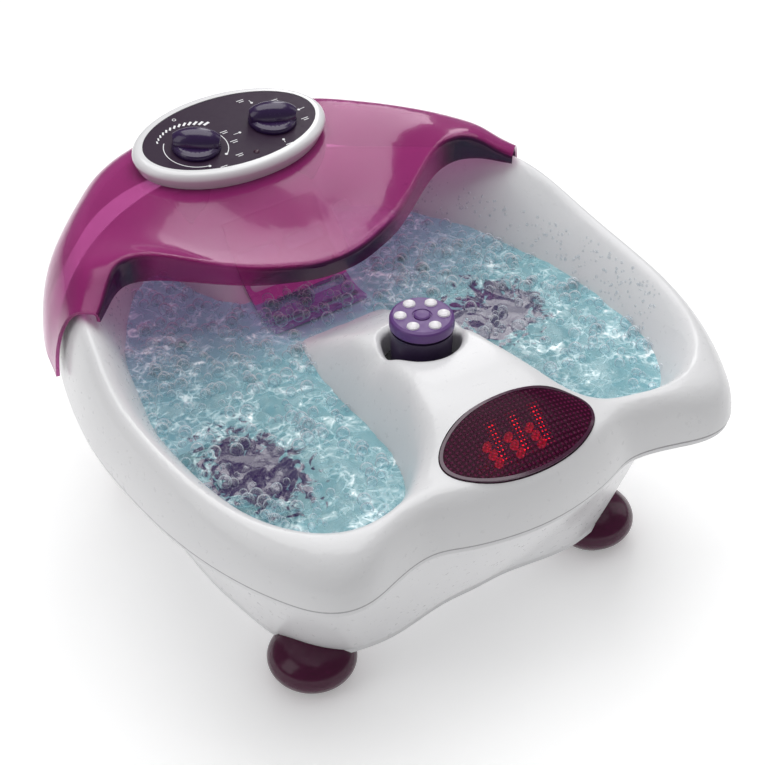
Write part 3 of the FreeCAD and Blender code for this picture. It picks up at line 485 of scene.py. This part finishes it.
def growing_scale():
    """Leaning ticks over the left knob, longer and wider along the row."""
    ticks, first, sweep, lean = 13, 140, 92, 5
    marks = []
    for i in range(ticks):
        share = i / (ticks - 1)
        degrees = first - sweep * share
        marks.append(bar(*around(KNOB_LEFT, 26.6, degrees),
                         *around(KNOB_LEFT, 27.6 + 3.4 * share, degrees - lean), 1.0 + 0.9 * share))
    return marks


POINTERS = ((91, 26.0, 29.5), (6, 23.5, 28.5), (180, 26.5, 31.5), (-103, 22.5, 26.0))
CAPTIONS = ((25.0, 26.5), (46.0, 15.0), (52.5, -14.0), (-4.5, 0.5), (-4.0, -12.0), (27.0, -34.0),
            (-9.0, -27.0), (-25.0, -33.5))
CAPTION_ROWS = ((0.0, 3.4), (-1.9, 2.5))


def panel_marks():
    """Generic marks only: a growing scale, arcs round the knobs, pointers and short dashes where
    captions would be. A pointer is its degrees, inner and outer radius; a row its offset and
    length."""
    marks = [arc_band(KNOB_LEFT, 22.0, 0.6, 138, 262), arc_band(KNOB_LEFT, 21.4, 0.6, -48, 16, 20)]
    marks += [dot(-33.7, -28.4, DOT_RADIUS), dot(-17.0, -22.4, DOT_RADIUS)]
    marks += growing_scale()
    marks.append(arc_band((-27, 29.4), 1.0, 0.45, 0, 360, 16))
    for degrees, near, far in POINTERS:
        inner, outer = around(KNOB_RIGHT, near, degrees), around(KNOB_RIGHT, far, degrees)
        marks.append(dot(*inner, 1.0))
        marks.append(bar(*inner, *outer, 0.45))
    for x, y in CAPTIONS:
        for row, length in CAPTION_ROWS:
            marks.append(bar(x - length, y + row, x + length * 0.6, y + row, 0.6))
    return join(*marks)


ink = moulded("panel_ink", (0.86, 0.86, 0.88), rough=(0.4, 0.55), tone=0.03, grain=3000, depth=0.01)
piece("panel_printing", *panel_marks(), ink, smooth=False)


# ---------------------------------------------------------------- lamp glow behind the window
RAY_HEIGHT = 400 * MM


def surface_tree(node):
    """Ray target made from one CAD node's mesh."""
    mesh = nodes[node].data
    return BVHTree.FromPolygons([v.co for v in mesh.vertices],
                                [p.vertices for p in mesh.polygons])


def hit_from_above(tree, x, y):
    """Place and normal where a vertical ray meets the surface, or None twice."""
    place, normal, _, _ = tree.ray_cast(Vector((x, y, RAY_HEIGHT)), Vector((0, 0, -1)))
    return place, normal


lens_tree = surface_tree("ir_lens")
lens_low, lens_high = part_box("ir_lens")
lens_centre = 0.5 * (lens_low + lens_high)
LENS_THICKNESS = 2.4 * MM
UNDER_LENS = 0.5 * MM
FACET_RISE = 0.35 * MM
FACET_SIDES = 8
GLOW_PITCH = 2.4 * MM
ROW_PITCH = 1.15 * GLOW_PITCH
GLOW_LEAN = 0.28
LAMP_XS = (-16.3 * MM, 0.0, 16.3 * MM)


def facet(centre, radius):
    """Low pyramid on a flat base."""
    ring = [2 * math.pi * i / FACET_SIDES for i in range(FACET_SIDES)]
    points = [centre + Vector((0, 0, FACET_RISE))]
    points += [centre + Vector((radius * math.cos(a), radius * math.sin(a), 0)) for a in ring]
    faces = [(0, 1 + i, 1 + (i + 1) % FACET_SIDES) for i in range(FACET_SIDES)]
    faces.append(tuple(reversed(range(1, FACET_SIDES + 1))))
    return points, faces


def glow_points(cluster_x, rows, columns, radius):
    """Small lit facets under the lens over one group of lamps, leaning to the right."""
    made = []
    for row in range(rows):
        for column in range(columns):
            along = (row - 0.5 * (rows - 1)) * ROW_PITCH
            x = cluster_x + (column - 0.5 * (columns - 1)) * GLOW_PITCH + GLOW_LEAN * along
            place, _ = hit_from_above(lens_tree, x, lens_centre.y + along)
            if place is None:
                continue
            centre = place - Vector((0, 0, LENS_THICKNESS + UNDER_LENS))
            made.append(facet(centre, radius * random.uniform(0.7, 1.15)))
    return join(*made)


def glow_piece(name, material, rows, columns, radius):
    groups = [glow_points(x, rows, columns, radius) for x in LAMP_XS]
    piece(name, *join(*groups), material, slot="red_lamps")


glow_hot = glowing("glow_hot", (1.0, 0.16, 0.03), 60.0, (1.0, 0.03, 0.02))
glow_dim = glowing("glow_dim", (1.0, 0.03, 0.03), 16.0, (0.7, 0.01, 0.03))
glow_piece("lamp_glow_hot", glow_hot, 9, 2, 0.56 * MM)
glow_piece("lamp_glow_dim", glow_dim, 11, 4, 0.36 * MM)


# ---------------------------------------------------------------- staging: water and bubbles
tub_tree = surface_tree("upper_tub")
tub_low, tub_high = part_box("upper_tub")
GRID = 1.6 * MM
WATER_CLIMB = 1.5 * MM
SEEDS = ((-100 * MM, -30 * MM), (100 * MM, -30 * MM))


def wetted_cells():
    """Grid cells inside the wells where the tub's surface lies below the water."""
    columns = int((tub_high.x - tub_low.x) / GRID)
    rows = int((tub_high.y - tub_low.y) / GRID)
    found = set()
    waiting = [(int((x - tub_low.x) / GRID), int((y - tub_low.y) / GRID)) for x, y in SEEDS]
    tried = set(waiting)
    while waiting:
        cell = waiting.pop()
        x, y = tub_low.x + (cell[0] + 0.5) * GRID, tub_low.y + (cell[1] + 0.5) * GRID
        place, _ = hit_from_above(tub_tree, x, y)
        if place is None or place.z > WATER_LEVEL + WATER_CLIMB:
            continue
        found.add(cell)
        for step in ((1, 0), (-1, 0), (0, 1), (0, -1)):
            beside = (cell[0] + step[0], cell[1] + step[1])
            if beside not in tried and 0 <= beside[0] < columns and 0 <= beside[1] < rows:
                tried.add(beside)
                waiting.append(beside)
    return found


def ripple(x, y):
    """Height of the agitated water above its level."""
    broad = noise.noise(Vector((x * 18, y * 18, 0.3)))
    mid = noise.noise(Vector((x * 55 + 2 * broad, y * 55, 4.1)))
    small = noise.noise(Vector((x * 140, y * 140 + 2 * mid, 9.7)))
    return (1.5 * broad + 1.1 * mid + 0.5 * small) * MM


def water_surface(cells):
    corner_of = {}
    points, faces = [], []

    def corner(i, j):
        if (i, j) not in corner_of:
            x, y = tub_low.x + i * GRID, tub_low.y + j * GRID
            corner_of[i, j] = len(points)
            points.append((x, y, WATER_LEVEL + ripple(x, y)))
        return corner_of[i, j]

    for i, j in sorted(cells):
        faces.append((corner(i, j), corner(i + 1, j), corner(i + 1, j + 1), corner(i, j + 1)))
    return points, faces


# White of the froth and of the painted glints on the waves.
FOAM_AND_GLINT_WHITE = (0.92, 0.96, 0.97)
TEAL_DEEP = (0.24, 0.64, 0.74)
TEAL_PALE = (0.58, 0.90, 0.95)
GUARD_SHADE_VIOLET = (0.50, 0.40, 0.74)
ROLLER_DARK = (0.022, 0.008, 0.065)
WAVE_DEPTH = 2.2 * MM
STREAK_DEPTH = 0.9 * MM


def water_material():
    """Agitated water: teal, with painted violet shade towards the guard, dark over the rollers,
    with white in the folds that is part froth and part painted glint, and froth in a shaken net."""
    g = Graph("staged_water")
    folds = g.noise(44, detail=5, distortion=1.6)
    streaks = g.noise(110, detail=5, distortion=1.8)
    sway = g.add("ShaderNodeTexNoise", {"Vector": g.place, "Scale": 45.0, "Detail": 2.0})
    shaken = g.add("ShaderNodeVectorMath", {0: sway.outputs["Color"], "Scale": 0.022},
                   operation="SCALE")
    moved = g.add("ShaderNodeVectorMath", {0: g.place, 1: shaken.outputs["Vector"]},
                  operation="ADD")
    web = g.cells(115, feature="DISTANCE_TO_EDGE", place=moved.outputs["Vector"])
    # White where folds and streaks meet: partly froth, partly painted glints of light on the waves.
    light = g.math("MULTIPLY", g.spread(folds, 0.48, 0.74), g.spread(streaks, 0.42, 0.66))
    net = g.spread(web, 0.02, 0.10, 0.34, 0.0)
    net = g.math("MULTIPLY", net, g.spread(folds, 0.36, 0.6))
    foam_and_glint = g.math("MINIMUM", g.math("ADD", light, net), 1.0)
    depth = g.ramp(streaks, (0.3, TEAL_DEEP), (0.7, TEAL_PALE))
    # Painted shade: the water turns violet towards the guard, as if under its tinted shadow.
    violet = g.spread(g.axis("Y"), 0.0, 0.10)
    tinted = g.blend(g.math("MULTIPLY", violet, 0.6), depth, GUARD_SHADE_VIOLET)
    dark = rollers_seen(g)
    tinted = g.blend(dark, tinted, ROLLER_DARK)
    foam_and_glint = g.math("MULTIPLY", foam_and_glint, g.spread(dark, 0.0, 1.0, 1.0, 0.12))
    color = g.blend(foam_and_glint, tinted, FOAM_AND_GLINT_WHITE)
    waves = g.bump(folds, WAVE_DEPTH, 0.6)
    liquid = g.principled({
        "Base Color": color,
        "Roughness": g.spread(streaks, 0.3, 0.7, 0.03, 0.12),
        "Coat Weight": 1.0,
        "Coat Roughness": 0.02,
        "Normal": g.bump(streaks, STREAK_DEPTH, 0.7, waves),
        # Painted light: the water glows in its own colour, lifting the shaded wells.
        "Emission Color": color,
        "Emission Strength": 0.2,
    })
    seen = g.math("MULTIPLY", g.spread(foam_and_glint, 0.0, 0.8, 0.3, 0.85), deep_share(g))
    seen = g.math("MAXIMUM", seen, g.math("MULTIPLY", dark, 0.92))
    return g.finish(g.mixed(seen, g.clear((0.72, 0.94, 0.97)), liquid))


RIDGE_CLEAR, RIDGE_END = 26 * MM, 44 * MM
RIDGE_WOBBLE = 40 * MM
ROLLER_PATCHES = ((-127 * MM, -80 * MM, 28 * MM, 44 * MM), (92 * MM, -34 * MM, 36 * MM, 34 * MM))
EDGE_TEAR = 2.6


def deep_share(g):
    """Low over the shallow middle ridge, where the water looks clear; 1 elsewhere."""
    wobble = g.math("MULTIPLY", g.math("SUBTRACT", g.noise(70, detail=3), 0.5), RIDGE_WOBBLE)
    across = g.math("ADD", g.math("ABSOLUTE", g.axis("X")), wobble)
    return g.spread(across, RIDGE_CLEAR, RIDGE_END, 0.25, 1.0)


def rollers_seen(g):
    """Where the dark rollers show through the water, with edges broken up by its waves. A patch
    is an ellipse: its centre and its half sizes."""
    waves = g.noise(75, detail=4, distortion=1.5)
    torn = g.math("MULTIPLY", g.math("SUBTRACT", waves, 0.5), EDGE_TEAR)
    shares = []
    for x, y, half_x, half_y in ROLLER_PATCHES:
        across = g.math("MULTIPLY", g.math("SUBTRACT", g.axis("X"), x), 1 / half_x)
        along = g.math("MULTIPLY", g.math("SUBTRACT", g.axis("Y"), y), 1 / half_y)
        squares = g.math("ADD", g.math("POWER", across, 2.0), g.math("POWER", along, 2.0))
        reach = g.math("SQRT", squares)
        shares.append(g.spread(g.math("ADD", reach, torn), 1.05, 0.85))
    return g.math("MAXIMUM", *shares)


def bubble_material():
    """Clear film that shows at its rim."""
    g = Graph("staged_bubble")
    film = g.noise(160, detail=2)
    edge = g.spread(g.facing(0.6), 0.3, 1.0, 0.05, 0.95)
    gloss = g.principled({
        "Base Color": g.ramp(film, (0.35, (0.55, 0.66, 0.74)), (0.65, (0.92, 0.95, 0.98))),
        "Roughness": 0.04,
        "Specular IOR Level": 1.0,
        "Coat Weight": 1.0,
        "Coat Roughness": 0.02,
    })
    return g.finish(g.mixed(edge, g.clear((0.97, 0.98, 0.99)), gloss))


def ball(centre, radius, stretch=1.0, rings=7, sides=12):
    """Sphere of rings and sides, stretched upwards."""
    points = [centre + Vector((0, 0, radius * stretch))]
    for ring in range(1, rings):
        down = math.pi * ring / rings
        for side in range(sides):
            turn = 2 * math.pi * side / sides
            points.append(centre + Vector((radius * math.sin(down) * math.cos(turn),
                                           radius * math.sin(down) * math.sin(turn),
                                           radius * stretch * math.cos(down))))
    points.append(centre - Vector((0, 0, radius * stretch)))
    faces = [(0, 1 + i, 1 + (i + 1) % sides) for i in range(sides)]
    for ring in range(rings - 2):
        for i in range(sides):
            a, b = 1 + ring * sides + i, 1 + ring * sides + (i + 1) % sides
            faces.append((a, a + sides, b + sides, b))
    last = len(points) - 1
    start = last - sides
    faces += [(last, start + (i + 1) % sides, start + i) for i in range(sides)]
    return points, faces


BUBBLE_RADII = (1.0, 1.3, 1.6, 2.0, 2.4, 2.9, 3.6, 4.6)
GUARD_EDGE_Y, GUARD_CROWD = 40 * MM, 38 * MM
SIDE_WALL_X, SIDE_CROWD = 150 * MM, 16 * MM


def bubbles(cells, count):
    """Crowds of bubbles where a slow noise is high, under the splash guard's edge and along the
    side walls."""
    ordered = sorted(cells)
    made = []
    while len(made) < count:
        i, j = random.choice(ordered)
        x = tub_low.x + (i + random.random()) * GRID
        y = tub_low.y + (j + random.random()) * GRID
        crowd = noise.noise(Vector((x * 26, y * 26, 2.2))) + 0.25
        crowd += 0.75 * math.exp(-((y - GUARD_EDGE_Y) / GUARD_CROWD) ** 2)
        crowd += 0.45 * math.exp(-((abs(x) - SIDE_WALL_X) / SIDE_CROWD) ** 2)
        if random.random() > crowd:
            continue
        radius = random.choice(BUBBLE_RADII) * MM
        height = WATER_LEVEL + ripple(x, y) + radius * random.uniform(-0.3, 0.5)
        made.append(ball(Vector((x, y, height)), radius))
    return join(*made)


DROPS_FROM, DROPS_TO = WATER_LEVEL + 3 * MM, WATER_LEVEL + 26 * MM
STEEP = 0.8
TRIES = 30


def droplets(count):
    """Beads of water clinging to the inner wall above the waterline."""
    made = []
    for _ in range(count * TRIES):
        if len(made) >= count:
            break
        x = random.choice((1, 1, 1, -1)) * random.uniform(100, 182) * MM
        y = random.uniform(-110, 120) * MM
        place, normal = hit_from_above(tub_tree, x, y)
        if place is None or not DROPS_FROM < place.z < DROPS_TO:
            continue
        if normal.z > STEEP or normal.x * x > 0:
            continue
        radius = random.uniform(0.35, 1.0) * MM
        made.append(ball(place + normal * radius * 0.25, radius, stretch=1.15, rings=5, sides=8))
    return join(*made)


wet = wetted_cells()
piece("staged_water", *water_surface(wet), water_material(), body=None)
bubble = bubble_material()
piece("staged_bubbles", *bubbles(wet, 1100), bubble, body=None)
piece("staged_droplets", *droplets(350), bubble, body=None)


# ---------------------------------------------------------------- floor, light and camera
FLOOR_REACH = 6.0
FLOOR_GLOW = 0.30


def floor():
    """Pale studio floor, lifted to white by a little light of its own."""
    g = Graph("studio_floor")
    shade = g.ramp(g.noise(3, detail=2), (0.3, (0.90, 0.90, 0.90)), (0.7, (0.93, 0.93, 0.93)))
    material = g.finish(g.principled({
        "Base Color": shade,
        "Roughness": g.spread(g.noise(40), 0.3, 0.7, 0.5, 0.6),
        "Emission Color": (1.0, 1.0, 1.0, 1.0),
        "Emission Strength": FLOOR_GLOW,
    }))
    corners = [(-FLOOR_REACH, -FLOOR_REACH, 0), (FLOOR_REACH, -FLOOR_REACH, 0),
               (FLOOR_REACH, FLOOR_REACH, 0), (-FLOOR_REACH, FLOOR_REACH, 0)]
    piece("studio_floor", corners, [(0, 1, 2, 3)], material, body=None, smooth=False)


AIM = (0.0, 0.0, 0.12)


def softbox(name, place, size, power):
    """Rectangular soft light that faces the basin."""
    data = bpy.data.lights.new(name, "AREA")
    data.shape = "RECTANGLE"
    data.size, data.size_y = size
    data.energy = power
    lamp = bpy.data.objects.new(name, data)
    bpy.context.scene.collection.objects.link(lamp)
    lamp.location = place
    lamp.rotation_euler = (Vector(AIM) - Vector(place)).to_track_quat("-Z", "Y").to_euler()


floor()
softbox("top_light", (0.15, 0.25, 1.9), (2.2, 2.0), 31)
softbox("left_light", (-1.5, 0.1, 0.9), (0.9, 1.2), 3.6)
softbox("right_light", (1.5, -0.2, 0.8), (0.7, 1.2), 2.0)
softbox("back_light", (0.88, 1.02, 1.05), (0.4, 0.8), 3.2)

world = bpy.data.worlds.new("studio")
world.use_nodes = True
background = world.node_tree.nodes["Background"]
background.inputs["Color"].default_value = (1.0, 1.0, 1.0, 1.0)
background.inputs["Strength"].default_value = 0.2
bpy.context.scene.world = world
bpy.context.scene.view_settings.view_transform = "Standard"

CAMERA_PLACE = (-0.6023, -0.8721, 0.9385)
CAMERA_RIGHT = (0.81542, -0.57881, 0.00792)
CAMERA_AHEAD = (0.45887, 0.63799, -0.61839)
camera_data = bpy.data.cameras.new("camera")
camera_data.sensor_width = 36.0
camera_data.lens = 93.8
camera = bpy.data.objects.new("camera", camera_data)
bpy.context.scene.collection.objects.link(camera)
right = Vector(CAMERA_RIGHT).normalized()
ahead = Vector(CAMERA_AHEAD).normalized()
up = right.cross(ahead).normalized()
turn = Matrix((right, up, -ahead)).transposed().to_4x4()
camera.matrix_world = Matrix.Translation(CAMERA_PLACE) @ turn
bpy.context.scene.camera = camera
